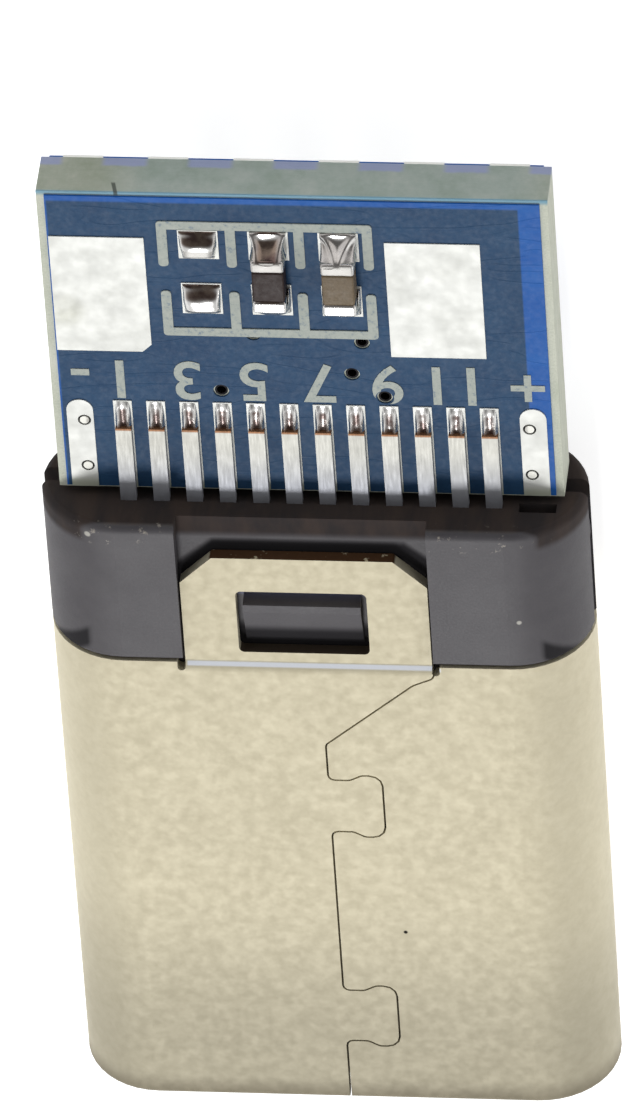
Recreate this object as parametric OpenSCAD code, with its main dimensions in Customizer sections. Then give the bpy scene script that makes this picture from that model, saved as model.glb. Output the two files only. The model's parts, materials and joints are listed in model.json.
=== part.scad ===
// A solderable reversible charging plug: a rolled metal shell with a dovetailed seam,
// a black housing in two halves, its contacts, latch and springs, and the small circuit
// board that the wires are soldered to.
// Millimetres. The plug lies on the flat of its shell: +Z is up, out of the printed side
// of the board, +Y runs from the mouth to the board's free end, +X is to the right.

/* [Shell] */
// Width of the shell over its round sides
shell_w = 8.25; // [7.9:0.05:8.6]
// Height of the shell over its flats
shell_h = 2.4; // [2.3:0.05:2.6]
// Length of the shell, without its tabs
shell_len = 8.85; // [8:0.05:10]
// Sheet thickness of the shell
shell_wall = 0.2; // [0.15:0.01:0.22]
// Width of the open line of the rolled seam
seam_gap = 0.03; // [0.02:0.01:0.05]
// Distance of the seam from the middle of the shell
seam_x = 0.05; // [-0.3:0.05:0.3]
// Reach of each dovetail tongue past the seam
tongue_reach = 0.82; // [0.6:0.02:1]
// Height of a dovetail tongue at its neck
tongue_neck = 1.04; // [0.8:0.02:1.1]
// Extra height of a dovetail tongue at its head
tongue_flare = 0.2; // [0.1:0.02:0.3]
// Distance from the shell's rear edge to the end of the seam's slanted run
seam_slant = 1.6; // [1.5:0.05:1.8]
// Distance from the shell's rear edge to the middle of the first tongue
tongue_first = 2.83; // [2.7:0.05:3]
// Distance between the middles of the two tongues
tongue_pitch = 4.29; // [4:0.05:4.6]

/* [Tabs] */
// Width of a locking tab
tab_w = 3.73; // [3.4:0.05:4]
// Length of a locking tab past the shell's rear edge
tab_len = 2.02; // [1.9:0.02:2.2]
// Distance of the tabs from the middle, negative to the left
tab_x = -0.13; // [-0.2:0.01:0]
// Cut of the tab's outer corners
tab_corner = 0.5; // [0.3:0.05:0.6]
// Step of the tab in from the shell's surface
tab_drop = 0.07; // [0.05:0.01:0.1]
// Length of the bend that makes this step, in the last of the shell
tab_bend = 0.14; // [0.12:0.01:0.2]
// Depth of the slit beside the tab into the shell's rear edge
relief_depth = 0.17; // [0.1:0.01:0.2]
// Width of that slit
relief_w = 0.12; // [0.08:0.01:0.15]
// Width of the window in a tab
window_w = 1.98; // [1.6:0.02:2.2]
// Length of the window in a tab
window_len = 1.2; // [1:0.02:1.3]
// Distance from the shell's rear edge to the window
window_start = 0.17; // [0.15:0.01:0.3]
// Distance of the window from the tab's middle, negative to the left
window_shift = -0.05; // [-0.1:0.01:0]
// Corner radius of the window
window_round = 0.09; // [0.05:0.01:0.12]

/* [Housing] */
// Length of the black housing behind the shell
housing_len = 2.65; // [2.5:0.05:3]
// Open line between the two housing halves, where the latch plate lies
parting_gap = 0.3; // [0.2:0.02:0.34]
// Play between a locking tab and the sides of its pocket
pocket_play = 0.03; // [0.02:0.01:0.05]
// Rounding of the housing's outer rear edge
housing_round = 0.14; // [0.1:0.01:0.16]
// Rounding of the housing's outer edge at the shell
front_round = 0.05; // [0.03:0.01:0.08]
// Open line between the shell's rear edge and the housing
shell_gap = 0.05; // [0.03:0.01:0.1]
// Height of the latch bump in a tab's window
bump_h = 0.22; // [0.15:0.01:0.25]
// Play between a housing piece and the inside of the shell
shell_play = 0.02; // [0.01:0.01:0.04]

/* [Front insulator] */
// Distance from the mouth of the shell to the insulator
insulator_start = 0.35; // [0.25:0.05:0.5]
// Distance from the shell's side to the cavity that takes the mating tongue
tongue_side_wall = 0.75; // [0.7:0.01:0.8]
// Height of the cavity that takes the mating tongue
tongue_h = 0.9; // [0.8:0.02:1]
// Depth of that cavity behind the insulator's face
tongue_depth = 5.2; // [5:0.05:5.4]
// Thickness of the insulator behind the cavity
insulator_back = 0.6; // [0.5:0.05:0.8]

/* [Contacts] */
// Distance between neighbouring contacts
pitch = 0.5; // [0.48:0.01:0.5]
// Number of contacts in the upper row
upper_count = 12; // [12:1:12]
// Width of a contact
contact_w = 0.24; // [0.2:0.01:0.26]
// Thickness of a contact
contact_t = 0.12; // [0.1:0.01:0.14]
// Height of each contact point above the middle of the cavity
contact_reach = 0.3; // [0.28:0.01:0.34]
// Distance from the insulator's face to the tips of the contacts
contact_tip = 1.35; // [1.3:0.05:1.5]
// Length of a contact's upturned nose
contact_nose = 0.4; // [0.35:0.01:0.5]
// Distance from the root of a contact's spring arm to the end of the cavity
contact_root = 1.6; // [1.5:0.05:2]
// Length of a contact's tail behind the housing
tail_len = 1.4; // [1.2:0.05:1.5]
// Distance from the housing's rear face to the step that brings a contact to the board
step_in = 1.32; // [1.1:0.02:1.5]

/* [Latch and ground springs] */
// Thickness of a latch arm
latch_t = 0.3; // [0.2:0.02:0.3]
// Distance from the housing's rear face to the latch plate
latch_in = 0.3; // [0.2:0.05:0.5]
// Width of a latch arm
arm_w = 0.34; // [0.3:0.02:0.36]
// Reach of a latch hook into the cavity
hook_reach = 0.3; // [0.2:0.05:0.4]
// Sheet thickness of a ground spring
spring_t = 0.08; // [0.06:0.01:0.1]
// Distance from the insulator's face to the plate of a ground spring
spring_start = 1.02; // [1:0.01:1.1]
// Length of the plate of a ground spring
spring_len = 2.58; // [2.4:0.02:2.8]
// Length of a ground spring's finger
finger_len = 0.4; // [0.38:0.01:0.45]
// Width of a ground spring's finger
finger_w = 0.6; // [0.5:0.05:0.7]
// Distance between neighbouring fingers
finger_pitch = 1.6; // [1.5:0.05:1.7]

/* [Circuit board] */
// Width of the board
board_w = 7.6; // [7.4:0.05:7.7]
// Distance from the housing's rear face to the board's free end
board_out = 5.85; // [5.5:0.05:6.5]
// Open gap between the housing's rear face and the board
board_gap = 0.12; // [0.05:0.01:0.2]
// Thickness of the board
board_t = 0.8; // [0.7:0.02:0.86]
// Bare margin between the board's side and its blue mask
mask_side = 0.12; // [0.05:0.01:0.2]
// Bare margin between the board's free end and the mask
mask_end = 0.06; // [0.03:0.01:0.1]
// Bare margin at the board's edge by the housing
edge_bare = 0.04; // [0.02:0.01:0.06]
// Thickness of the mask
mask_t = 0.03; // [0.02:0.01:0.04]
// Thickness of a tinned pad
pad_t = 0.05; // [0.04:0.01:0.06]
// Width of the ground and supply pads
big_pad_w = 1.42; // [1.2:0.02:1.5]
// Length of the ground and supply pads
big_pad_len = 2.2; // [2:0.05:2.4]
// Middle of the ground pad, from the middle of the board
ground_x = -2.95; // [-2.98:0.01:-2.9]
// Middle of the supply pad, from the middle of the board
supply_x = 2.05; // [2:0.01:2.1]
// Distance from the board's free end to these pads
big_pad_end = 0.83; // [0.7:0.01:0.9]
// Width of a contact's pad
contact_pad_w = 0.28; // [0.26:0.01:0.3]
// Distance that a contact's pad runs past the contact's tip
contact_pad_out = 0.45; // [0.4:0.01:0.5]
// Distance between the wire pads on the underside
wire_pitch = 1.27; // [1.2:0.01:1.3]
// Width of a wire pad
wire_pad_w = 0.6; // [0.5:0.02:0.8]
// Length of a wire pad
wire_pad_len = 2; // [1.5:0.05:2.2]
// Width of the earth pads beside the contacts
side_pad_w = 0.4; // [0.3:0.01:0.42]
// Middle of the earth pads, from the middle of the board
side_pad_x = 3.4; // [3.38:0.01:3.44]
// Distance from the housing to the near via of an earth pad
earth_via_near = 0.57; // [0.5:0.01:0.6]
// Distance from the housing to the far via of an earth pad
earth_via_far = 1.46; // [1.4:0.01:1.5]
// Distance of the earth vias from the middle of their pad, towards the board's middle
earth_via_shift = 0.06; // [0:0.01:0.07]
// Hole of a plated via
via_d = 0.2; // [0.15:0.01:0.24]
// Thickness of the plating in a via
via_plating = 0.03; // [0.02:0.005:0.04]

/* [Chips] */
// Length of a chip over its metal ends
chip_len = 1; // [0.95:0.01:1.05]
// Width of a chip
chip_w = 0.5; // [0.45:0.01:0.55]
// Height of the resistor
resistor_h = 0.32; // [0.25:0.01:0.4]
// Height of the capacitor
capacitor_h = 0.36; // [0.3:0.01:0.42]
// Length of a chip's metal end
chip_end = 0.22; // [0.18:0.01:0.26]
// Distance between neighbouring chips
chip_pitch = 1.045; // [1.01:0.005:1.08]
// Middle of the first chip bay, from the middle of the board
bay_first = -1.43; // [-1.45:0.01:-1.41]
// Distance from the board's free end to the near ends of the chips
chip_reach = 1.98; // [1.95:0.01:2.01]
// Distance from the board's free end to the near ends of the chip bays' pads
low_pad_reach = 2.26; // [2.24:0.01:2.3]
// Length of a chip bay's pad nearer the housing
low_pad_len = 0.58; // [0.54:0.01:0.6]
// Distance from the board's free end to the farther pads of the chip bays
high_pad_end = 0.66; // [0.66:0.01:0.7]
// Length of these farther pads
high_pad_len = 0.54; // [0.5:0.01:0.58]
// Width of the printed frame's lines
print_line = 0.15; // [0.1:0.01:0.15]
// Distance from the board's free end to the printed frame
frame_end = 0.5; // [0.45:0.01:0.5]
// Length of the printed frame
frame_len = 2.2; // [2.1:0.01:2.3]
// Length of the printed frame's legs
frame_leg = 0.86; // [0.8:0.01:0.9]
// Distance from the frame's side to the middle of the first chip bay
frame_side = 0.61; // [0.58:0.01:0.64]

/* [Hidden] */
// The lower row has no contacts at the two middle places
lower_places = [for (i = [1:upper_count]) if (abs(contact_x(i)) > pitch) i];
$fn = 48;

// Places along the plug, from the middle of its whole length
total_len = shell_len + housing_len + board_out;
mouth_y = -total_len / 2;
rear_y = mouth_y + shell_len;
housing_end = rear_y + housing_len;
board_end = total_len / 2;
board_start = housing_end + board_gap;
insulator_y = mouth_y + insulator_start;
wafer_start = insulator_y + tongue_depth + insulator_back;
tail_end = housing_end + tail_len;

// Heights, above the middle plane of the plug
mid_z = shell_h / 2;
inner_h = shell_h - 2 * shell_wall;
inner_w = shell_w - 2 * shell_wall;
tongue_w = shell_w - 2 * tongue_side_wall;
pocket_floor = mid_z - tab_drop - shell_wall - 0.03;
copper_top = board_t / 2 + pad_t;
mask_top = board_t / 2 + mask_t;
tail_z = copper_top + contact_t / 2;
// Cover of plastic between a contact and the inside of the shell
contact_cover = 0.28;
slot_z = inner_h / 2 - contact_cover - contact_t / 2;
// Cuts run this far past the face that they open
past = 0.1;

function unit(v) = v / norm(v);
function side_of(v) = [-v[1], v[0]];
function turned(v, a) = [v[0] * cos(a) - v[1] * sin(a), v[0] * sin(a) + v[1] * cos(a)];

// Points of the arc that rounds the corner b of the path a-b-c with radius r
function corner_arc(a, b, c, r, steps) =
    let (
        u = unit(a - b),
        w = unit(c - b),
        half = acos(max(-1, min(1, u * w))) / 2,
        middle = b + unit(u + w) * r / sin(half),
        first = b + u * r / tan(half) - middle,
        turn = (u[0] * w[1] - u[1] * w[0] > 0 ? -1 : 1) * (180 - 2 * half)
    )
    [for (k = [0:steps]) middle + turned(first, turn * k / steps)];

// A path of [x, y, radius] points with its inner corners rounded
function rounded_path(path, steps = 4) =
    let (
        p = [for (q = path) [q[0], q[1]]],
        last = len(path) - 1
    )
    [for (i = [0:last])
        each (i == 0 || i == last || path[i][2] == 0
            ? [p[i]]
            : corner_arc(p[i - 1], p[i], p[i + 1], path[i][2], steps))];

// Sideways unit step at point i of a path, lengthened at a corner as a mitre is
function mitre(p, i) =
    let (
        last = len(p) - 1,
        before = unit(i > 0 ? p[i] - p[i - 1] : p[1] - p[0]),
        after = unit(i < last ? p[i + 1] - p[i] : p[last] - p[last - 1]),
        n = unit(side_of(before) + side_of(after))
    )
    n / (n * side_of(before));

// Outline of a path drawn with a line of thickness t
function ribbon(p, t) = concat(
    [for (i = [0:len(p) - 1]) p[i] + mitre(p, i) * t / 2],
    [for (i = [len(p) - 1:-1:0]) p[i] - mitre(p, i) * t / 2]
);

// Middle of contact place i, counted from the left
function contact_x(i) = (i - (upper_count + 1) / 2) * pitch;

module at_mid() {
    translate([0, 0, mid_z])
        children();
}

// The upper form and its mirror image below the middle plane
module on_both_faces() {
    children();
    mirror([0, 0, 1])
        children();
}

// Sweeps a half section round an oblong of width w and height h. The section's x is the
// distance from the axis of the oblong's round ends and its y is the place along the plug.
module oblong_sweep(w, h) {
    straight = w - h;
    for (side = [0, 1])
        mirror([side, 0, 0])
            translate([straight / 2, 0, 0])
                rotate([-90, 0, 0])
                    rotate([0, 0, -90])
                        rotate_extrude(angle = 180)
                            children();
    on_both_faces()
        rotate([0, -90, 0])
            linear_extrude(height = straight, center = true)
                children();
}

// A plain oblong bar from y0 to y1
module oblong_bar(w, h, y0, y1) {
    oblong_sweep(w, h)
        translate([0, y0])
            square([h / 2, y1 - y0]);
}

// A block centred on x, from [y0, z0] to [y1, z1]
module bar(x, w, y0, y1, z0, z1) {
    translate([x - w / 2, y0, z0])
        cube([w, y1 - y0, z1 - z0]);
}

// Extrudes a side view, drawn as [y, z], to width w about x
module side_profile(x, w) {
    translate([x - w / 2, 0, 0])
        rotate([90, 0, 90])
            linear_extrude(height = w)
                children();
}

// Extrudes a plan, drawn as [x, y], from z0 to z1
module plan(z0, z1) {
    translate([0, 0, z0])
        linear_extrude(height = z1 - z0)
            children();
}

// A rectangle with round corners, from [x0, y0] to [x1, y1]
module rounded_rect(x0, y0, x1, y1, r) {
    translate([x0 + r, y0])
        square([x1 - x0 - 2 * r, y1 - y0]);
    translate([x0, y0 + r])
        square([x1 - x0, y1 - y0 - 2 * r]);
    for (x = [x0 + r, x1 - r], y = [y0 + r, y1 - r])
        translate([x, y])
            circle(r = r);
}

// Half section of the shell wall, with a full round lip at the mouth
module shell_section() {
    translate([inner_h / 2, mouth_y + shell_wall / 2])
        square([shell_wall, shell_len - shell_wall / 2]);
    translate([inner_h / 2 + shell_wall / 2, mouth_y + shell_wall / 2])
        circle(d = shell_wall);
}

// The seam of one dovetail tongue whose middle is at y, from its rear side to its front
function tongue_path(y) =
    let (
        neck = tongue_neck / 2,
        head = (tongue_neck + tongue_flare) / 2,
        tip = seam_x + tongue_reach,
        waist = seam_x + tongue_reach * 0.4
    )
    [
        [seam_x, y + neck, 0.1],
        [waist, y + neck, 0.15],
        [waist + tongue_reach * 0.22, y + head, 0.15],
        [tip, y + head, 0.2],
        [tip, y - head, 0.2],
        [waist + tongue_reach * 0.22, y - head, 0.15],
        [waist, y - neck, 0.15],
        [seam_x, y - neck, 0.1]
    ];

// The seam, from the slit beside the tab to the mouth
function seam_path() = concat(
    [[tab_x + tab_w / 2 + relief_w / 2, rear_y - relief_depth + past, 0]],
    [[tab_x + tab_w / 2, rear_y - relief_depth - 0.06, 0.1]],
    [[tab_x + tab_w / 2 - 0.3, rear_y - 0.37, 0.3]],
    [[seam_x, rear_y - seam_slant, 0.1]],
    tongue_path(rear_y - tongue_first),
    tongue_path(rear_y - tongue_first - tongue_pitch),
    [[seam_x, mouth_y - past, 0]]
);

// Side view of a locking tab: it leaves the shell wall, steps in and runs straight
module tab_side() {
    wall_z = mid_z - shell_wall / 2;
    bend_y = rear_y - relief_depth;
    bend_r = shell_wall * 0.6;
    polygon(ribbon(rounded_path([
        [bend_y - 2 * past, wall_z, 0],
        [bend_y, wall_z, bend_r],
        [bend_y + tab_bend, wall_z - tab_drop, bend_r],
        [rear_y + tab_len, wall_z - tab_drop, 0]
    ]), shell_wall));
}

// Plan of a locking tab with its cut corners and its window
module tab_plan() {
    y1 = rear_y + tab_len;
    translate([tab_x, 0])
        difference() {
            polygon([
                [-tab_w / 2, rear_y - relief_depth - 2 * past],
                [tab_w / 2, rear_y - relief_depth - 2 * past],
                [tab_w / 2, y1 - tab_corner],
                [tab_w / 2 - tab_corner, y1],
                [-tab_w / 2 + tab_corner, y1],
                [-tab_w / 2, y1 - tab_corner]
            ]);
            translate([window_shift, 0])
                rounded_rect(
                    -window_w / 2, rear_y + window_start,
                    window_w / 2, rear_y + window_start + window_len, window_round
                );
        }
}

module shell() {
    color([0.84, 0.81, 0.72])
        at_mid()
            difference() {
                union() {
                    difference() {
                        oblong_sweep(shell_w, shell_h)
                            shell_section();
                        on_both_faces()
                            bar(
                                tab_x, tab_w, rear_y - relief_depth - past, rear_y + past,
                                inner_h / 4, mid_z + past
                            );
                    }
                    on_both_faces()
                        intersection() {
                            side_profile(tab_x, tab_w + past)
                                tab_side();
                            plan(0, mid_z + past)
                                tab_plan();
                        }
                }
                plan(inner_h / 4, mid_z + past)
                    polygon(ribbon(rounded_path(seam_path(), 3), seam_gap));
                on_both_faces()
                    for (side = [-1, 1])
                        plan(inner_h / 4, mid_z + past)
                            translate([tab_x + side * (tab_w + relief_w) / 2, 0])
                                relief_slit();
            }
}

// Plan of the round-ended slit that frees a tab's side from the shell
module relief_slit() {
    r = relief_w / 2;
    translate([0, rear_y - relief_depth + r])
        circle(r = r);
    translate([-r, rear_y - relief_depth + r])
        square([relief_w, relief_depth - r + past]);
}

// Half section of the housing behind the shell, its outer edges rounded
module housing_section() {
    y0 = rear_y + shell_gap;
    inner = mid_z - max(housing_round, front_round);
    translate([0, y0])
        square([inner, housing_end - y0]);
    translate([0, y0 + front_round])
        square([mid_z, housing_end - y0 - front_round - housing_round]);
    translate([0, y0])
        square([mid_z - front_round, front_round]);
    translate([0, housing_end - housing_round])
        square([mid_z - housing_round, housing_round]);
    translate([mid_z - front_round, y0 + front_round])
        circle(r = front_round);
    translate([mid_z - housing_round, housing_end - housing_round])
        circle(r = housing_round);
}

// One housing half, above the parting gap: the block behind the shell, with its tab
// pocket and latch bump, and the tongue of plastic that holds the contacts in the shell
module housing_half() {
    pocket_w = tab_w + 2 * pocket_play;
    difference() {
        union() {
            difference() {
                union() {
                    oblong_sweep(shell_w, shell_h)
                        housing_section();
                    oblong_bar(
                        inner_w - 2 * shell_play, inner_h - 2 * shell_play,
                        wafer_start, rear_y + shell_gap + past
                    );
                }
                bar(
                    tab_x, pocket_w, rear_y - relief_depth, housing_end + past,
                    pocket_floor, mid_z + past
                );
            }
            latch_bump();
        }
        bar(
            0, shell_w + past, wafer_start - past, housing_end + past,
            -mid_z - past, parting_gap / 2
        );
        children();
    }
}

// The bump that a tab's window snaps over: a ramp from the mouth side and a steep rear face
module latch_bump() {
    start = rear_y + window_start + 0.08;
    end = start + window_len - 0.36;
    side_profile(tab_x + window_shift, window_w - 0.2)
        polygon([
            [start, pocket_floor - 0.02],
            [end + 0.05, pocket_floor - 0.02],
            [end, pocket_floor + bump_h],
            [end - 0.14, pocket_floor + bump_h],
            [start, pocket_floor + 0.03]
        ]);
}

// The channel that one contact lies in, through the housing half
module contact_channel(i) {
    side_profile(contact_x(i), contact_w)
        polygon(ribbon(contact_path(), contact_t));
}

module upper_housing() {
    color([0.16, 0.16, 0.17])
        at_mid()
            housing_half() {
                for (i = [1:upper_count])
                    contact_channel(i);
                rear_notch();
            }
}

// The small recess in the rear face over the end of the right earth pad
module rear_notch() {
    bar(
        side_pad_x, side_pad_w + 0.17, housing_end - 0.2, housing_end + past,
        copper_top, copper_top + 0.2
    );
}

module lower_housing() {
    color([0.16, 0.16, 0.17])
        at_mid()
            mirror([0, 0, 1])
                housing_half()
                    for (i = lower_places)
                        contact_channel(i);
}

// Side view of an upper contact, from its upturned nose to its tail, as [y, z, radius]
function contact_path() =
    let (
        tip_y = insulator_y + contact_tip,
        root_y = insulator_y + tongue_depth - contact_root,
        touch_z = contact_reach + contact_t / 2,
        nose_rise = contact_nose * 0.35,
        step = 0.3,
        step_end = housing_end - step_in
    )
    rounded_path([
        [tip_y, touch_z + nose_rise, 0],
        [tip_y + contact_nose, touch_z, contact_t],
        [root_y, slot_z - 0.02, 5 * contact_t],
        [insulator_y + tongue_depth, slot_z, 2.5 * contact_t],
        [step_end - step, slot_z, 0.8 * contact_t],
        [step_end, tail_z, 0.8 * contact_t],
        [tail_end, tail_z, 0]
    ], 3);

module contact(i) {
    color([0.86, 0.84, 0.78])
        side_profile(contact_x(i), contact_w)
            polygon(ribbon(contact_path(), contact_t));
}

module upper_contact(i) {
    at_mid()
        contact(i);
}

module lower_contact(i) {
    at_mid()
        mirror([0, 0, 1])
            contact(i);
}

// The insulator fills the front of the shell. Its cavity takes the mating tongue, each
// contact has a slot in the roof or the floor, and each latch arm has a side channel.
module front_insulator() {
    outer_w = inner_w - 2 * shell_play;
    outer_h = inner_h - 2 * shell_play;
    slot_w = contact_w + 0.08;
    slot_top = slot_z + contact_t / 2 + 0.04;
    slot_y = insulator_y + contact_tip - 0.2;
    color([0.12, 0.12, 0.13])
        at_mid()
            difference() {
                oblong_bar(outer_w, outer_h, insulator_y, wafer_start - 0.02);
                bar(
                    0, tongue_w, insulator_y - past, insulator_y + tongue_depth,
                    -tongue_h / 2, tongue_h / 2
                );
                on_both_faces()
                    spring_recess();
                for (i = [1:upper_count])
                    bar(contact_x(i), slot_w, slot_y, wafer_start + past, 0, slot_top);
                for (i = lower_places)
                    bar(contact_x(i), slot_w, slot_y, wafer_start + past, -slot_top, 0);
                for (side = [-1, 1])
                    arm_channel(side);
            }
}

// Channel of a latch arm in the insulator's side, open to the cavity at the hook
module arm_channel(side) {
    channel_h = latch_t / 2 + 0.02;
    reach = inner_w / 2 + past;
    open_from = tongue_w / 2 - 0.1;
    rear_from = arm_inner - 0.02;
    bar(
        side * (open_from + reach) / 2, reach - open_from,
        insulator_y + 0.3, insulator_y + tongue_depth, -channel_h, channel_h
    );
    bar(
        side * (rear_from + reach) / 2, reach - rear_from,
        insulator_y + tongue_depth - past, wafer_start + past, -channel_h, channel_h
    );
}

// Plan of a ground spring: a plate over the flat of the insulator, with four fingers
// towards the mouth
spring_w = shell_w - shell_h;
spring_y0 = insulator_y + spring_start - finger_len;
spring_y1 = insulator_y + spring_start;
spring_y2 = spring_y1 + spring_len;
function finger_x(k) = (k - 1.5) * min(finger_pitch, (spring_w - finger_w) / 3);

// Seat of a ground spring on the insulator, with one window for each finger
module spring_recess() {
    bar(0, spring_w + 0.1, spring_y1 - 0.05, spring_y2 + 0.05, spring_seat(), mid_z);
    for (k = [0:3])
        bar(finger_x(k), finger_w + 0.1, spring_y0 - 0.12, spring_y1, 0, mid_z);
}

function spring_seat() = inner_h / 2 - shell_play - spring_t - 0.01;

// Side view of a finger: it leaves the plate, dips into the cavity and rises again
function finger_path() = rounded_path([
    [spring_y1 + 0.02, spring_seat() + spring_t / 2, 0],
    [spring_y1 - 0.08, spring_seat() + spring_t / 2, 0.08],
    [spring_y1 - 0.24, tongue_h / 2 - 0.06, 0.08],
    [spring_y0 - 0.06, tongue_h / 2 + 0.12, 0]
], 3);

module ground_spring() {
    color([0.78, 0.76, 0.7]) {
        bar(
            0, spring_w, spring_y1, spring_y2, spring_seat(), spring_seat() + spring_t
        );
        for (k = [0:3])
            side_profile(finger_x(k), finger_w)
                polygon(ribbon(finger_path(), spring_t));
    }
}

module upper_ground_spring() {
    at_mid()
        ground_spring();
}

module lower_ground_spring() {
    at_mid()
        mirror([0, 0, 1])
            ground_spring();
}

// Sides of a latch arm, from the middle
arm_outer = inner_w / 2 - 0.12;
arm_inner = arm_outer - arm_w;

// Plan of a latch arm, from the plate to its hook at the mouth, on the side -1 or 1
function arm_points(side) =
    let (
        tip = insulator_y + 0.45,
        hook = tongue_w / 2 - hook_reach,
        right = [
            [arm_inner, wafer_start + 0.3],
            [arm_inner, tip + 1.1],
            [hook, tip + 0.75],
            [hook, tip + 0.45],
            [arm_inner, tip + 0.1],
            [arm_inner + 0.05, tip],
            [arm_outer - 0.06, tip],
            [arm_outer, tip + 0.2],
            [arm_outer, wafer_start + 0.3]
        ]
    )
    [for (p = right) [side * p[0], p[1]]];

// The latch plate lies between the housing halves and carries the two hooked arms
module latch_plate() {
    color([0.72, 0.71, 0.68])
        at_mid()
            union() {
                bar(
                    0, 2 * arm_outer, wafer_start + shell_play, housing_end - latch_in,
                    -latch_t / 2, latch_t / 2
                );
                for (side = [-1, 1])
                    plan(-latch_t / 2, latch_t / 2)
                        polygon(arm_points(side));
            }
}

module circuit_board() {
    color([0.78, 0.8, 0.66])
        at_mid()
            difference() {
                bar(0, board_w, board_start, board_end, -board_t / 2, board_t / 2);
                via_places()
                    cylinder(d = via_d, h = board_t + past, center = true);
            }
}

// Puts its child at each plated hole of the board
module via_places() {
    for (p = trace_vias)
        translate([p[0], board_end - p[1], 0])
            children();
    earth_via_places()
        children();
}

module earth_via_places() {
    for (side = [-1, 1], y = [earth_via_near, earth_via_far])
        translate([side * (side_pad_x - earth_via_shift), housing_end + y, 0])
            children();
}

// Small holes of the printed traces, from the middle and from the board's free end
trace_vias = [[-0.71, 2.66], [0.91, 2.79], [-1.25, 3.78], [0.73, 3.4], [1.2, 3.84]];

module via_barrels() {
    color([0.55, 0.5, 0.4])
        at_mid()
            via_places()
                difference() {
                    cylinder(d = via_d, h = board_t, center = true);
                    cylinder(d = via_d - 2 * via_plating, h = board_t + past, center = true);
                }
}

// Solder that fills the plated holes of the earth pads
module earth_via_solder() {
    color([0.8, 0.8, 0.8])
        at_mid()
            earth_via_places()
                cylinder(d = via_d - 2 * via_plating, h = 2 * copper_top, center = true);
}

// Plans of the pads on the board's faces
module big_pad(x) {
    y1 = board_end - big_pad_end;
    translate([x - big_pad_w / 2, y1 - big_pad_len])
        square([big_pad_w, big_pad_len]);
}

module ground_pad_plan() {
    cut = 0.14;
    y0 = board_end - big_pad_end - big_pad_len;
    difference() {
        big_pad(ground_x);
        translate([ground_x + big_pad_w / 2, y0])
            rotate(45)
                square(cut * sqrt(2), center = true);
    }
}

module contact_pads_plan(places) {
    for (i = places)
        translate([contact_x(i) - contact_pad_w / 2, board_start + edge_bare])
            square([contact_pad_w, tail_end + contact_pad_out - board_start - edge_bare]);
}

// Each earth pad runs from the board's edge at the housing to its round far end
module earth_pads_plan() {
    r = side_pad_w / 2;
    y0 = board_start + edge_bare;
    y1 = tail_end + contact_pad_out;
    for (side = [-1, 1])
        translate([side * side_pad_x, 0]) {
            translate([-r, y0])
                square([side_pad_w, y1 - r - y0]);
            translate([0, y1 - r])
                circle(r = r);
        }
}

module wire_pads_plan(over = 0) {
    for (k = [0:5])
        translate([(k - 2.5) * wire_pitch - wire_pad_w / 2, board_end - wire_pad_len])
            square([wire_pad_w, wire_pad_len + over]);
}

// Middle of chip bay k, counted from the left, and the ends of its two pads
function bay_x(k) = bay_first + k * chip_pitch;
chip_y0 = board_end - chip_reach;
chip_y1 = chip_y0 + chip_len;
low_pad_y = board_end - low_pad_reach;
high_pad_top = board_end - high_pad_end;
high_pad_y = high_pad_top - high_pad_len;

module bay_pads_plan(k) {
    w = chip_w + 0.1;
    translate([bay_x(k) - w / 2, low_pad_y])
        square([w, low_pad_len]);
    translate([bay_x(k) - w / 2, high_pad_y])
        square([w, high_pad_len]);
}

module chip_pads_plan() {
    for (k = [0:2])
        bay_pads_plan(k);
}

// The mask leaves a bare margin at the board's sides and at its edge by the housing
module mask_plan(y1) {
    y0 = board_start + edge_bare;
    translate([-board_w / 2 + mask_side, y0])
        square([board_w - 2 * mask_side, y1 - y0]);
}

module via_holes_plan() {
    via_places()
        circle(d = via_d + 0.04);
}

module upper_mask() {
    color([0.13, 0.3, 0.55])
        at_mid()
            plan(board_t / 2, mask_top)
                difference() {
                    mask_plan(board_end - mask_end);
                    ground_pad_plan();
                    big_pad(supply_x);
                    contact_pads_plan([1:upper_count]);
                    earth_pads_plan();
                    chip_pads_plan();
                    via_holes_plan();
                }
}

module lower_mask() {
    color([0.13, 0.3, 0.55])
        at_mid()
            mirror([0, 0, 1])
                plan(board_t / 2, mask_top)
                    difference() {
                        mask_plan(board_end);
                        wire_pads_plan(past);
                        contact_pads_plan(lower_places);
                        earth_pads_plan();
                        via_holes_plan();
                    }
}

// A pad's plan as tinned copper on the board's upper face
module tinned() {
    color([0.93, 0.92, 0.9])
        at_mid()
            plan(board_t / 2, copper_top)
                children();
}

module ground_pad() {
    tinned()
        ground_pad_plan();
}

module supply_pad() {
    tinned()
        big_pad(supply_x);
}

module upper_contact_pads() {
    tinned()
        contact_pads_plan([1:upper_count]);
}

module lower_contact_pads() {
    color([0.93, 0.92, 0.9])
        at_mid()
            mirror([0, 0, 1])
                plan(board_t / 2, copper_top)
                    contact_pads_plan(lower_places);
}

module wire_pads() {
    color([0.93, 0.92, 0.9])
        at_mid()
            mirror([0, 0, 1])
                plan(board_t / 2, copper_top)
                    wire_pads_plan();
}

module chip_pads() {
    tinned()
        chip_pads_plan();
}

module earth_pads() {
    color([0.93, 0.92, 0.9])
        at_mid()
            on_both_faces()
                difference() {
                    plan(board_t / 2, copper_top)
                        earth_pads_plan();
                    earth_via_places()
                        cylinder(d = via_d, h = board_t + 4 * pad_t, center = true);
                }
}

// The body of a chip between its metal ends
module chip_body(k, h) {
    bar(
        bay_x(k), chip_w - 0.02, chip_y0 + chip_end, chip_y1 - chip_end,
        copper_top + 0.02, copper_top + h - 0.01
    );
}

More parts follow.
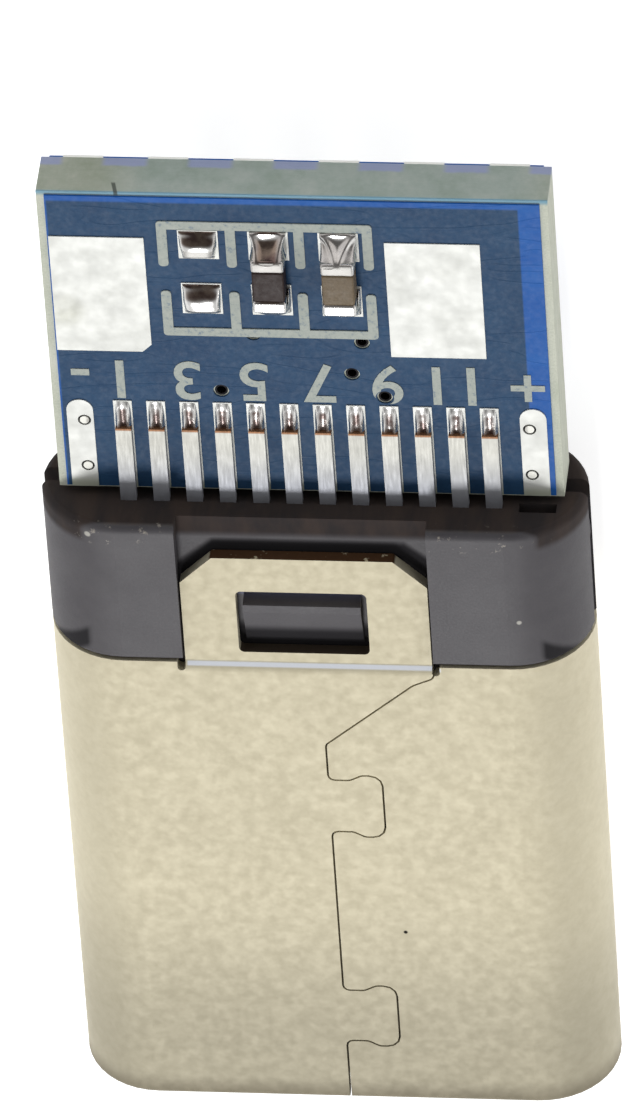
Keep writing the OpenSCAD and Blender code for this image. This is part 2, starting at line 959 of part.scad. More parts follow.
module chip_ends(k, h) {
    for (y = [chip_y0, chip_y1 - chip_end])
        bar(bay_x(k), chip_w, y, y + chip_end, copper_top, copper_top + h);
}

module resistor() {
    color([0.22, 0.17, 0.16])
        at_mid()
            chip_body(1, resistor_h);
}

module resistor_ends() {
    color([0.75, 0.74, 0.72])
        at_mid()
            chip_ends(1, resistor_h);
}

module capacitor() {
    color([0.55, 0.5, 0.44])
        at_mid()
            chip_body(2, capacitor_h);
}

module capacitor_ends() {
    color([0.75, 0.74, 0.72])
        at_mid()
            chip_ends(2, capacitor_h);
}

// Solder that climbs from a pad at y1 to an upright face at y0, seen from the side
module fillet_side(y0, y1, h) {
    polygon([
        [y0, copper_top],
        [y1, copper_top],
        [y1, copper_top + 0.05],
        [y0 + (y1 - y0) * 0.5, copper_top + h * 0.35],
        [y0 + (y1 - y0) * 0.2, copper_top + h * 0.62],
        [y0, copper_top + h * 0.85]
    ]);
}

module chip_solder() {
    color([0.8, 0.8, 0.8])
        at_mid()
            for (k = [1, 2]) {
                h = k == 1 ? resistor_h : capacitor_h;
                side_profile(bay_x(k), chip_w + 0.04)
                    fillet_side(chip_y1, high_pad_top, h);
                mirror([0, 1, 0])
                    side_profile(bay_x(k), chip_w + 0.04)
                        fillet_side(-chip_y0, -low_pad_y - 0.02, h);
            }
}

// A low dome of solder on a bare pad, from [x, y] to its far corner
module solder_dome(x, y, w, l, h) {
    half = norm([w, l]) / 2;
    r = (half * half + h * h) / (2 * h);
    intersection() {
        translate([x, y + l / 2, copper_top + h - r])
            sphere(r = r, $fn = 96);
        bar(x, w, y, y + l, copper_top, copper_top + h + 1);
    }
}

module spare_pad_solder() {
    w = chip_w + 0.06;
    color([0.8, 0.8, 0.8])
        at_mid() {
            solder_dome(bay_x(0), low_pad_y + 0.02, w, low_pad_len - 0.04, 0.14);
            solder_dome(bay_x(0), high_pad_y + 0.02, w, high_pad_len - 0.04, 0.14);
        }
}

// Solder in front of each contact's tip
module tail_solder(places) {
    color([0.8, 0.8, 0.8])
        for (i = places)
            side_profile(contact_x(i), contact_w)
                fillet_side(tail_end, tail_end + contact_pad_out - 0.02, contact_t);
}

module upper_tail_solder() {
    at_mid()
        tail_solder([1:upper_count]);
}

module lower_tail_solder() {
    at_mid()
        mirror([0, 0, 1])
            tail_solder(lower_places);
}

// The printed frame round the chip bays: two combs of lines that face each other
module printed_frame() {
    print_t = 0.02;
    r = print_line * 0.4;
    left = bay_x(0) - frame_side;
    top = board_end - frame_end;
    bottom = top - frame_len;
    width = 3 * chip_pitch + print_line / 2;
    color([0.82, 0.84, 0.8])
        at_mid()
            plan(mask_top, mask_top + print_t)
                union() {
                    rounded_rect(left, top - print_line, left + width, top, r);
                    rounded_rect(left, bottom, left + width, bottom + print_line, r);
                    for (k = [0:3])
                        translate([left + k * (width - print_line) / 3, 0]) {
                            rounded_rect(0, top - frame_leg, print_line, top, r);
                            rounded_rect(0, bottom, print_line, bottom + frame_leg, r);
                        }
                }
}

shell();
upper_housing();
lower_housing();
front_insulator();
latch_plate();
upper_ground_spring();
lower_ground_spring();
for (i = [1:upper_count])
    upper_contact(i);
for (i = lower_places)
    lower_contact(i);
circuit_board();
upper_mask();
lower_mask();
ground_pad();
supply_pad();
earth_pads();
upper_contact_pads();
lower_contact_pads();
wire_pads();
chip_pads();
resistor();
resistor_ends();
capacitor();
capacitor_ends();
chip_solder();
spare_pad_solder();
upper_tail_solder();
lower_tail_solder();
earth_via_solder();
via_barrels();
printed_frame();
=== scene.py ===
"""Looks of the solderable reversible plug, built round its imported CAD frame."""

import json
import math

import bmesh
import bpy
from mathutils import Matrix, Vector, noise


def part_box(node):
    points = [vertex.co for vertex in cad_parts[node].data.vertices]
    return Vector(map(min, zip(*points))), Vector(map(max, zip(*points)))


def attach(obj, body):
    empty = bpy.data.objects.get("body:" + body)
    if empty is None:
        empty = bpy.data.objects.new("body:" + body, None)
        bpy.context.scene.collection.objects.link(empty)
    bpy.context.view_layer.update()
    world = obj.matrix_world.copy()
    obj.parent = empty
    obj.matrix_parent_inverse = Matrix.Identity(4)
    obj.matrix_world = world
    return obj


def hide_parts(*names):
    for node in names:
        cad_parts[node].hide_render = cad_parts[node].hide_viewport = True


MM = 0.001
PHOTO_ROWS = 1119

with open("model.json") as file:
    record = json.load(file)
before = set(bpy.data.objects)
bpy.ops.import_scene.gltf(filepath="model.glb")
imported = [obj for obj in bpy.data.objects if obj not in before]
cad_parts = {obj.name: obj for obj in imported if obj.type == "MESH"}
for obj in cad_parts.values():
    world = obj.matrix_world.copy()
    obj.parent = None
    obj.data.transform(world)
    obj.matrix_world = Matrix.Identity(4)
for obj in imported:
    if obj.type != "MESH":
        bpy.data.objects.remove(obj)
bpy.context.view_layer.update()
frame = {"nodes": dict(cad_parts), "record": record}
nodes = frame["nodes"]


def mm_box(name):
    """The lowest and highest corners of a CAD node, in millimetres."""
    low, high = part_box(name)
    return Vector(low) / MM, Vector(high) / MM


# Places that the frame gives, in millimetres
SHELL_LOW, SHELL_HIGH = mm_box("shell")
HOUSING_LOW, HOUSING_HIGH = mm_box("upper_housing")
BOARD_LOW, BOARD_HIGH = mm_box("circuit_board")
TAIL_LOW, TAIL_HIGH = mm_box("upper_contact_1")
LAST_LOW, LAST_HIGH = mm_box("upper_contact_12")
EARTH_LOW, EARTH_HIGH = mm_box("earth_pads")
BAY_PADS_LOW, BAY_PADS_HIGH = mm_box("chip_pads")
SPARE_LOW, SPARE_HIGH = mm_box("spare_pad_solder")
FILLET_LOW, FILLET_HIGH = mm_box("chip_solder")
RESISTOR_LOW, RESISTOR_HIGH = mm_box("resistor")
GROUND_LOW = mm_box("ground_pad")[0]
PADS_HIGH = mm_box("upper_contact_pads")[1]
CHIP_FAR = mm_box("resistor_ends")[1].y
LOWER_HOUSING_TOP = mm_box("lower_housing")[1].z
MASK_TOP = mm_box("upper_mask")[1].z
PAD_TOP = PADS_HIGH.z
MOUTH_Y = SHELL_LOW.y
TAB_END = SHELL_HIGH.y
MID_Z = SHELL_HIGH.z / 2
HOUSING_END = HOUSING_HIGH.y
BOARD_END = BOARD_HIGH.y
TAIL_END = TAIL_HIGH.y
PITCH = mm_box("upper_contact_2")[0].x - TAIL_LOW.x
FIRST_X = (TAIL_LOW.x + TAIL_HIGH.x) / 2
LAST_X = (LAST_LOW.x + LAST_HIGH.x) / 2
CONTACTS = round((LAST_X - FIRST_X) / PITCH) + 1
RESISTOR_X = (RESISTOR_LOW.x + RESISTOR_HIGH.x) / 2

# Places inside a node, in millimetres: the tab's middle, its half width and the line it bends
# at, the near edge of its window, and the pitch of the wire pads
TAB_X, TAB_HALF, TAB_BEND = -0.05, 1.90, 0.12
WINDOW_Y = 0.345
WIRE_PITCH = 1.27

UP, TO_FREE_END = (0, 0, 1), (0, 1, 0)

# The side that the photograph was taken from, in degrees
CAMERA_AZIMUTH, CAMERA_ELEVATION, CAMERA_ROLL = 9.43, 48.59, -171.6


def direction(azimuth, elevation):
    """From the plug towards a compass angle from +Y and a height, both in degrees."""
    a, e = math.radians(azimuth), math.radians(elevation)
    return Vector((math.sin(a) * math.cos(e), math.cos(a) * math.cos(e), math.sin(e)))


def grey(level):
    return (level, level, level)


class Shade:
    """Builds one material from nodes. Its coordinates are the frame's, in millimetres."""

    def __init__(self, name):
        self.material = bpy.data.materials.new(name)
        self.material.use_nodes = True
        self.tree = self.material.node_tree
        self.shader = self.tree.nodes["Principled BSDF"]
        coord = self.tree.nodes.new("ShaderNodeTexCoord")
        scale = self.add("ShaderNodeVectorMath", operation="SCALE")
        self.tree.links.new(coord.outputs["Object"], scale.inputs[0])
        scale.inputs["Scale"].default_value = 1 / MM
        self.mm = scale.outputs[0]
        split = self.add("ShaderNodeSeparateXYZ")
        self.tree.links.new(self.mm, split.inputs[0])
        self.x, self.y, self.z = split.outputs

    def add(self, kind, **attributes):
        node = self.tree.nodes.new(kind)
        for key, value in attributes.items():
            setattr(node, key, value)
        return node

    def feed(self, socket, value):
        """Links a socket, or sets it to a number or a colour."""
        if isinstance(value, bpy.types.NodeSocket):
            self.tree.links.new(value, socket)
        elif isinstance(value, tuple) and socket.type == "RGBA":
            socket.default_value = (*value, 1)
        else:
            socket.default_value = value

    def set(self, **sockets):
        """Feeds the shader's sockets, whose names have _ in place of a space."""
        for key, value in sockets.items():
            self.feed(self.shader.inputs[key.replace("_", " ")], value)

    def math(self, operation, a, b=0.0):
        node = self.add("ShaderNodeMath", operation=operation)
        self.feed(node.inputs[0], a)
        self.feed(node.inputs[1], b)
        return node.outputs[0]

    def product(self, first, *others):
        for other in others:
            first = self.math("MULTIPLY", first, other)
        return first

    def either(self, first, *others):
        """The largest of some masks."""
        for other in others:
            first = self.math("MAXIMUM", first, other)
        return first

    def stretch(self, scale):
        """Coordinates that are scaled along each axis."""
        node = self.add("ShaderNodeMapping")
        self.feed(node.inputs["Vector"], self.mm)
        node.inputs["Scale"].default_value = scale
        return node.outputs[0]

    def noise(self, scale, detail=2.0, roughness=0.5, vector=None):
        node = self.add("ShaderNodeTexNoise")
        self.feed(node.inputs["Vector"], vector or self.mm)
        node.inputs["Scale"].default_value = scale
        node.inputs["Detail"].default_value = detail
        node.inputs["Roughness"].default_value = roughness
        return node.outputs["Fac"]

    def ramp(self, factor, *stops):
        """Colours or grey levels at stops along a factor."""
        node = self.add("ShaderNodeValToRGB")
        self.feed(node.inputs[0], factor)
        elements = node.color_ramp.elements
        while len(elements) < len(stops):
            elements.new(0.5)
        for element, (place, colour) in zip(elements, stops):
            element.position = place
            element.color = (*(colour if isinstance(colour, tuple) else grey(colour)), 1)
        return node.outputs["Color"]

    def mix(self, factor, a, b):
        """a where the factor is 0, b where it is 1."""
        node = self.add("ShaderNodeMix", data_type="RGBA")
        self.feed(node.inputs[0], factor)
        self.feed(node.inputs[6], a)
        self.feed(node.inputs[7], b)
        return node.outputs[2]

    def rise(self, value, low, high):
        """0 at low, 1 at high, smooth between."""
        node = self.add("ShaderNodeMapRange", interpolation_type="SMOOTHSTEP")
        self.feed(node.inputs["Value"], value)
        node.inputs["From Min"].default_value = low
        node.inputs["From Max"].default_value = high
        return node.outputs[0]

    def band(self, value, low, high, soft):
        """1 between low and high, 0 outside."""
        return self.product(self.rise(value, low - soft, low), self.rise(value, high + soft, high))

    def away(self, value, centre):
        """How far value is from centre."""
        return self.math("ABSOLUTE", self.math("SUBTRACT", value, centre))

    def within(self, value, centre, half, soft):
        """1 up to half away from centre, 0 outside."""
        return self.rise(self.away(value, centre), half + soft, half)

    def from_nearest(self, value, first, pitch):
        """How far value is past the nearest member of a row, with its sign."""
        place = self.math("DIVIDE", self.math("SUBTRACT", value, first), pitch)
        return self.product(self.math("SUBTRACT", place, self.math("ROUND", place)), pitch)

    def near(self, centre, radius, soft):
        """1 within radius of a point of the plan, 0 outside."""
        dx = self.math("SUBTRACT", self.x, centre[0])
        dy = self.math("SUBTRACT", self.y, centre[1])
        squares = self.math("ADD", self.product(dx, dx), self.product(dy, dy))
        return self.rise(self.math("SQRT", squares), radius + soft, radius)

    def facing(self, axis):
        """1 where the surface faces along an axis of the frame, -1 where it faces back."""
        geometry = self.add("ShaderNodeNewGeometry")
        dot = self.add("ShaderNodeVectorMath", operation="DOT_PRODUCT")
        self.tree.links.new(geometry.outputs["Normal"], dot.inputs[0])
        dot.inputs[1].default_value = axis
        return dot.outputs["Value"]

    def bump(self, height, depth_mm, strength=1.0, normal=None):
        node = self.add("ShaderNodeBump")
        self.feed(node.inputs["Height"], height)
        node.inputs["Distance"].default_value = depth_mm * MM
        node.inputs["Strength"].default_value = strength
        if normal is not None:
            self.feed(node.inputs["Normal"], normal)
        return node.outputs[0]


def shell_metal():
    """Matt warm plating with a fine grain, painted shade towards the mouth, some tarnish on the
    lip, and cut edges in brown with painted glints.
    """
    s = Shade("shell_metal")
    mouth_shade, lip_shade_and_tarnish, wall_shade = (0.40, 0.37, 0.29), (0.24, 0.21, 0.15), (0.035, 0.014, 0.008)
    bend_highlight, speck_colour = (0.86, 0.88, 0.92), (0.04, 0.035, 0.03)
    speck_at = (1.07, -5.2)
    grain = s.noise(13, 4, 0.6)
    warm = s.ramp(s.noise(0.8, 3, 0.6), (0.3, (0.68, 0.635, 0.50)), (0.7, (0.73, 0.685, 0.545)))
    fine = s.ramp(grain, (0.3, (0.66, 0.615, 0.48)), (0.7, (0.75, 0.705, 0.57)))
    colour = s.mix(0.3, warm, fine)

    # Painted shade towards the mouth, and painted shade with some tarnish on the lip
    low = s.rise(s.y, MOUTH_Y + 4.5, MOUTH_Y + 0.8)
    colour = s.mix(s.product(low, 0.52), colour, mouth_shade)
    lip = s.rise(s.y, MOUTH_Y + 0.5, MOUTH_Y - 0.1)
    colour = s.mix(s.product(lip, 0.85), colour, lip_shade_and_tarnish)

    # A painted highlight along the line where the tab bends
    bend = s.product(
        s.band(s.y, TAB_BEND - 0.02, TAB_BEND + 0.02, 0.03),
        s.within(s.x, TAB_X, TAB_HALF, 0.04),
        s.rise(s.z, SHELL_HIGH.z - 0.4, SHELL_HIGH.z - 0.3),
    )
    colour = s.mix(bend, colour, bend_highlight)

    # The tab's cut end, brown with painted glints, and painted shade on the window's near wall
    glints = s.ramp(s.noise(5, 3, 0.6), (0.60, (0.14, 0.075, 0.04)), (0.66, (0.75, 0.68, 0.5)))
    at_end = s.rise(s.y, TAB_END - 0.05, TAB_END - 0.015)
    end_face = s.product(at_end, s.rise(s.facing(TO_FREE_END), 0.3, 0.6))
    colour = s.mix(end_face, colour, glints)
    wall = s.product(
        s.rise(s.facing(TO_FREE_END), 0.4, 0.7),
        s.band(s.y, WINDOW_Y - 0.05, WINDOW_Y + 0.1, 0.02),
        s.within(s.x, TAB_X, 1.1, 0.1),
    )
    colour = s.mix(s.product(wall, 0.9), colour, wall_shade)

    speck = s.near(speck_at, 0.02, 0.02)
    s.set(Base_Color=s.mix(speck, colour, speck_colour), Metallic=1.0)
    s.set(Roughness=s.ramp(s.noise(6, 2), (0.3, 0.78), (0.7, 0.86)))
    s.set(Normal=s.bump(grain, 0.002, 0.35, s.bump(s.noise(45, 2), 0.001, 0.3)))
    return s.material


def housing_plastic():
    """Black moulded plastic: matt outside, glossier at the rear face, scuffed at its edges."""
    s = Shade("housing_plastic")
    bump_top_reflection, shadow_colour = (0.10, 0.11, 0.20), (0.006, 0.005, 0.007)
    scuff_colour, dust_colour = (0.42, 0.38, 0.32), (0.6, 0.58, 0.52)
    left_grain_at, right_grain_at = (-3.33, 2.62), (3.1, 1.1)
    fine = s.noise(30, 3, 0.7)
    base = s.ramp(s.noise(1.4, 3, 0.6), (0.3, (0.060, 0.055, 0.062)), (0.7, (0.078, 0.073, 0.080)))

    # The streaked rear face, and a painted dark reflection on the pocket's rim above it, below the
    # outer face
    streaks = s.noise(1.2, 3, 0.6, s.stretch((2.2, 1, 0.5)))
    back = s.ramp(streaks, (0.35, (0.022, 0.017, 0.017)), (0.65, (0.045, 0.030, 0.024)))
    rear = s.rise(s.y, HOUSING_END - 0.03, HOUSING_END - 0.005)
    sunk = s.rise(s.z, SHELL_HIGH.z - 0.08, SHELL_HIGH.z - 0.14)
    rim = s.product(s.rise(s.y, HOUSING_END - 0.42, HOUSING_END - 0.26), sunk)
    colour = s.mix(s.either(rear, s.product(rim, 0.9)), base, back)

    # The latch bump in the tab's window, with a painted bluish reflection at its top and a painted
    # shadow at its foot
    slot = s.within(s.x, TAB_X, 1.2, 0.1)
    bump_top = s.product(s.band(s.y, WINDOW_Y + 0.98, TAB_END - 0.4, 0.05), slot)
    colour = s.mix(s.product(bump_top, 0.8), colour, bump_top_reflection)
    bump_foot_shadow = s.product(s.rise(s.y, WINDOW_Y + 0.50, WINDOW_Y + 0.28), slot)

    # Painted shadow on the pocket's floor, along the tab's end and its cut corners, and at the
    # bump's foot
    corner = s.either(s.math("SUBTRACT", s.away(s.x, TAB_X), 1.45), 0.0)
    behind = s.math("ADD", s.math("SUBTRACT", s.y, TAB_END), s.product(corner, 0.85))
    painted_shadow = s.either(s.product(s.band(behind, -0.1, 0.10, 0.16), sunk), bump_foot_shadow)
    colour = s.mix(s.product(painted_shadow, 0.92), colour, shadow_colour)

    # Scuffs along the rear edge and two grains of dust
    specks = s.ramp(s.noise(5, 4, 0.75), (0.60, 0.0), (0.68, 1.0))
    worn = s.band(s.y, HOUSING_END - 0.30, HOUSING_END - 0.02, 0.1)
    top = s.rise(s.z, SHELL_HIGH.z - 0.3, SHELL_HIGH.z - 0.05)
    colour = s.mix(s.product(specks, worn, top, 0.6), colour, scuff_colour)
    dust = s.math("ADD", s.near(left_grain_at, 0.03, 0.03), s.near(right_grain_at, 0.02, 0.03))
    s.set(Base_Color=s.mix(s.product(dust, 0.7), colour, dust_colour))

    rough = s.mix(rear, s.ramp(fine, (0.3, 0.55), (0.7, 0.66)), grey(0.25))
    s.set(Roughness=s.mix(s.either(rim, painted_shadow), rough, grey(1.0)))
    s.set(Normal=s.bump(fine, 0.003, 0.4, s.bump(s.noise(2.5, 2), 0.02, 0.2)))
    return s.material


def insulator_plastic():
    """Black plastic of the mating end, with a fine moulded grain."""
    s = Shade("insulator_plastic")
    fine = s.noise(30, 3)
    s.set(Base_Color=s.ramp(fine, (0.3, (0.02, 0.02, 0.021)), (0.7, (0.04, 0.04, 0.042))))
    s.set(Roughness=s.ramp(s.noise(8, 2), (0.3, 0.4), (0.7, 0.55)), Normal=s.bump(fine, 0.003, 0.4))
    return s.material


def plated(name, dark, light, rough_low, rough_high):
    """Plated metal with an even grain."""
    s = Shade(name)
    grain = s.noise(16, 3, 0.6)
    cloud = s.noise(1.8, 3, 0.6)
    grained = s.ramp(grain, (0.25, dark), (0.75, light))
    s.set(Base_Color=s.mix(0.5, grained, s.ramp(cloud, (0.3, dark), (0.6, light))), Metallic=1.0)
    s.set(Roughness=s.ramp(s.noise(7, 3), (0.3, rough_low), (0.7, rough_high)))
    s.set(Normal=s.bump(grain, 0.003, 0.5))
    return s.material


def contact_metal():
    """Bright plated strip, brushed along its length, with bare copper at its cut tip."""
    s = Shade("contact_metal")
    shadow, copper = (0.34, 0.36, 0.44), (0.30, 0.12, 0.035)
    grain = s.noise(6, 3, 0.6, s.stretch((5, 0.5, 5)))
    cloud = s.noise(2.4, 3, 0.6)
    colour = s.mix(
        0.5,
        s.ramp(grain, (0.3, (0.44, 0.435, 0.40)), (0.7, (0.66, 0.655, 0.61))),
        s.ramp(cloud, (0.3, (0.46, 0.455, 0.42)), (0.65, (0.64, 0.635, 0.59))),
    )
    # Painted shade on the tails towards the housing
    by_housing = s.rise(s.y, HOUSING_END + 1.2, HOUSING_END + 0.1)
    colour = s.mix(s.product(by_housing, 0.65), colour, shadow)
    tip = s.rise(s.y, TAIL_END - 0.05, TAIL_END - 0.02)
    s.set(Base_Color=s.mix(s.product(tip, 0.85), colour, copper), Metallic=1.0)
    s.set(Roughness=s.ramp(grain, (0.3, 0.60), (0.7, 0.74)))
    s.set(Normal=s.bump(grain, 0.003, 0.4))
    return s.material


def tinned_copper():
    """Tinned pads: pale satin metal with a faint stain and a slightly uneven face."""
    s = Shade("tinned_copper")
    stain_colour, pad_end_shade = (0.40, 0.40, 0.30), (0.42, 0.46, 0.30)
    cloud = s.noise(1.6, 4, 0.6)
    colour = s.ramp(cloud, (0.3, (0.76, 0.765, 0.735)), (0.7, (0.79, 0.795, 0.77)))
    stain = s.near((GROUND_LOW.x + 0.15, GROUND_LOW.y + 0.75), 0.12, 0.3)
    colour = s.mix(s.product(stain, s.noise(5, 3), 0.55), colour, stain_colour)
    # Painted shade on the pads' ends by the housing
    near_end = s.rise(s.y, EARTH_LOW.y + 0.22, EARTH_LOW.y + 0.04)
    s.set(Base_Color=s.mix(s.product(near_end, 0.5), colour, pad_end_shade), Metallic=1.0)
    s.set(Roughness=s.ramp(s.noise(4, 3), (0.3, 0.70), (0.7, 0.80)))
    s.set(Normal=s.bump(s.noise(3, 3), 0.003, 0.2))
    return s.material


def solder():
    """Bright solder with painted dark reflections and brown flux in its hollows and on the slopes
    to the free end.
    """
    s = Shade("solder")
    hollow_reflection_and_flux, cap_grey, plug_grey = (0.070, 0.022, 0.012), (0.36, 0.35, 0.33), (0.46, 0.46, 0.42)
    bright = s.ramp(s.noise(4, 3, 0.6), (0.3, (0.72, 0.71, 0.69)), (0.7, (0.88, 0.87, 0.85)))

    # Painted dark reflection and brown flux in the hollow in front of each contact's tip
    hollow = s.within(s.from_nearest(s.x, FIRST_X, PITCH), 0.0, 0.035, 0.05)
    reach = s.band(s.y, TAIL_END - 0.02, TAIL_END + 0.28, 0.08)
    front = s.product(hollow, reach, s.ramp(s.noise(7, 3), (0.30, 0.45), (0.55, 1.0)))
    colour = s.mix(s.product(front, 0.9), bright, hollow_reflection_and_flux)

    # Painted dark reflection and burnt flux on the far slopes in the bays, most of it at the
    # resistor and the empty bay
    bays = s.rise(s.y, TAIL_END + 0.6, TAIL_END + 0.7)
    steep = s.product(s.rise(s.facing(TO_FREE_END), 0.18, 0.52), bays)
    at_resistor = s.within(s.x, RESISTOR_X, 0.10, 0.14)
    at_empty_bay = s.rise(s.x, RESISTOR_X - 0.55, RESISTOR_X - 0.65)
    share = s.math("ADD", 0.40, s.product(s.either(at_resistor, at_empty_bay), 0.5))
    slope_reflection_and_flux = s.ramp(s.noise(6, 2), (0.4, (0.075, 0.022, 0.012)), (0.6, (0.20, 0.13, 0.09)))
    colour = s.mix(s.product(steep, share), colour, slope_reflection_and_flux)

    # Grey tops of the chips' far caps, and dull plugs in the earth pads' holes
    far_caps = s.band(s.y, CHIP_FAR - 0.21, CHIP_FAR + 0.01, 0.01)
    caps = s.product(far_caps, s.rise(s.facing(UP), 0.7, 0.9))
    colour = s.mix(s.product(caps, 0.75), colour, cap_grey)
    plugs = s.rise(s.away(s.x, 0.0), 3.05, 3.1)
    colour = s.mix(s.product(plugs, 0.8), colour, plug_grey)

    s.set(Base_Color=colour, Metallic=s.ramp(front, (0.0, 1.0), (1.0, 0.35)))
    shiny = s.ramp(s.noise(5, 2), (0.3, 0.20), (0.7, 0.32))
    s.set(Roughness=s.mix(s.either(plugs, caps), shiny, grey(0.6)))
    s.set(Normal=s.bump(s.noise(9, 3), 0.008, 0.4))
    return s.material


def laminate():
    """Woven glass laminate: pale layers on the cut edges, with ink bled into the lowest one."""
    s = Shade("laminate")
    end_grey, cool_tint, ink, mask_edge = (
        (0.30, 0.35, 0.26), (0.38, 0.52, 0.54), (0.36, 0.41, 0.68), (0.10, 0.36, 0.55)
    )
    layers = s.noise(5, 3, 0.6, s.stretch((0.35, 0.35, 3.4)))
    fibres = s.noise(20, 2, 0.7, s.stretch((1.5, 1.5, 5)))
    pale = s.ramp(
        layers, (0.25, (0.50, 0.54, 0.42)), (0.6, (0.66, 0.68, 0.56)), (0.85, (0.74, 0.74, 0.64))
    )
    woven = s.ramp(fibres, (0.3, (0.38, 0.42, 0.33)), (0.7, (0.80, 0.80, 0.70)))
    colour = s.mix(0.3, pale, woven)

    # The free end: greyer, cooler in its middle and mottled
    end = s.rise(s.y, BOARD_END - 0.1, BOARD_END - 0.01)
    colour = s.mix(s.product(end, 0.6), colour, end_grey)
    inner = s.product(s.band(s.x, -2.0, 3.2, 1.0), end)
    colour = s.mix(s.product(inner, 0.55), colour, cool_tint)
    mottle = s.ramp(
        s.noise(1.5, 4, 0.7),
        (0.3, (0.20, 0.25, 0.16)), (0.5, (0.40, 0.44, 0.38)), (0.7, (0.62, 0.62, 0.56)),
    )
    colour = s.mix(s.product(end, 0.4), colour, mottle)

    # Ink in the lowest layer, between the wire pads, and a blue line under the upper coat
    between = s.within(
        s.from_nearest(s.x, 0.0, WIRE_PITCH), 0.0, 0.21 * WIRE_PITCH, 0.09 * WIRE_PITCH
    )
    wavy_z = s.math("ADD", s.z, s.product(s.noise(4, 2), 0.05))
    lowest = s.rise(wavy_z, BOARD_LOW.z + 0.24, BOARD_LOW.z + 0.17)
    colour = s.mix(s.product(between, lowest, end, 0.8), colour, ink)
    upper = s.rise(s.z, BOARD_HIGH.z - 0.05, BOARD_HIGH.z - 0.01)
    colour = s.mix(s.product(upper, end, 0.7), colour, mask_edge)

    # A slanting nick in the upper half of the free end
    nick_x = s.math("ADD", s.x, s.product(s.z, -0.25))
    upper_half = s.rise(s.z, BOARD_HIGH.z - 0.26, BOARD_HIGH.z - 0.2)
    nick = s.product(s.band(nick_x, -3.03, -2.99, 0.02), upper_half, end)
    s.set(Base_Color=s.mix(s.product(nick, 0.85), colour, (0.02, 0.03, 0.02)), Roughness=0.6)
    s.set(Normal=s.bump(fibres, 0.012, 0.5, s.bump(layers, 0.02, 0.4)))
    return s.material


def blue_mask():
    """Blue resist: greyer over the copper field, brighter over the bare border."""
    s = Shade("blue_mask")
    cloud = s.noise(1.7, 4, 0.6)
    copper = s.ramp(cloud, (0.3, (0.012, 0.050, 0.125)), (0.7, (0.022, 0.075, 0.165)))
    fine = s.ramp(s.noise(22, 3, 0.6), (0.3, (0.010, 0.045, 0.115)), (0.7, (0.025, 0.085, 0.18)))
    bare = s.ramp(cloud, (0.3, (0.012, 0.10, 0.40)), (0.7, (0.018, 0.13, 0.46)))
    field = s.product(
        s.band(s.x, BOARD_LOW.x + 0.16, BOARD_HIGH.x - 0.46, 0.03),
        s.rise(s.y, BOARD_END - 0.13, BOARD_END - 0.18),
    )
    s.set(Base_Color=s.mix(field, bare, s.mix(0.3, copper, fine)), Specular_IOR_Level=0.2)
    s.set(Roughness=s.ramp(s.noise(12, 2), (0.3, 0.50), (0.7, 0.62)))
    wavy = s.noise(0.9, 1, 0.5, s.stretch((0.5, 2.6, 1)))
    trace = s.ramp(wavy, (0.47, 0.0), (0.485, 1.0), (0.515, 1.0), (0.53, 0.0))
    s.set(Normal=s.bump(trace, 0.012, 0.35, s.bump(s.noise(20, 2), 0.003, 0.4)))
    return s.material


def ceramic(name, dark, light):
    """A chip's ceramic body: fine powdery grain under a slight glaze."""
    s = Shade(name)
    fine = s.noise(24, 4, 0.7)
    s.set(Base_Color=s.ramp(fine, (0.3, dark), (0.7, light)), Specular_IOR_Level=0.2)
    s.set(Roughness=s.ramp(s.noise(10, 2), (0.3, 0.42), (0.7, 0.56)))
    s.set(Normal=s.bump(fine, 0.006, 0.5))
    return s.material


def print_ink():
    """Grey-white printed ink, thin where the screen left pinholes."""
    s = Shade("print_ink")
    holes = s.noise(11, 4, 0.75)
    thin, thick, full = (0.22, 0.28, 0.34), (0.42, 0.46, 0.42), (0.50, 0.53, 0.48)
    s.set(Base_Color=s.ramp(holes, (0.32, thin), (0.44, thick), (0.7, full)))
    s.set(Roughness=0.75, Normal=s.bump(holes, 0.006, 0.6))
    return s.material


FINISH = {
    "shell_metal": shell_metal(),
    "housing_plastic": housing_plastic(),
    "insulator_plastic": insulator_plastic(),
    "latch_metal": plated("latch_metal", (0.52, 0.50, 0.46), (0.74, 0.72, 0.68), 0.3, 0.45),
    "spring_metal": plated("spring_metal", (0.56, 0.54, 0.47), (0.78, 0.75, 0.67), 0.28, 0.42),
    "contact_metal": contact_metal(),
    "laminate": laminate(),
    "blue_mask": blue_mask(),
    "tinned_copper": tinned_copper(),
    "solder": solder(),
    "chip_dark": ceramic("chip_dark", (0.020, 0.010, 0.010), (0.040, 0.024, 0.020)),
    "chip_tan": ceramic("chip_tan", (0.13, 0.095, 0.055), (0.21, 0.16, 0.105)),
    "print_ink": print_ink(),
    # The vias' copper is painted near black, as painted shade in their holes
    "via_copper": plated("via_copper", (0.010, 0.010, 0.012), (0.030, 0.028, 0.030), 0.6, 0.75),
}

for part in frame["record"]["subparts"]:
    for material_slot in nodes[part["node"]].material_slots:
        material_slot.material = FINISH[part["material_slot"]]


def add_piece(name, slot, mesh, *replaced):
    """Puts a finished mesh, in metres in the frame, on the plug, and hides what it replaces."""
    piece = bpy.data.objects.new(name, mesh)
    bpy.context.collection.objects.link(piece)
    mesh.materials.clear()
    mesh.materials.append(FINISH[slot])
    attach(piece, "root")
    if replaced:
        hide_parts(*replaced)


def smooth_step(value, low, high):
    """0 at low, 1 at high, smooth between."""
    t = min(max((value - low) / (high - low), 0.0), 1.0)
    return t * t * (3 - 2 * t)


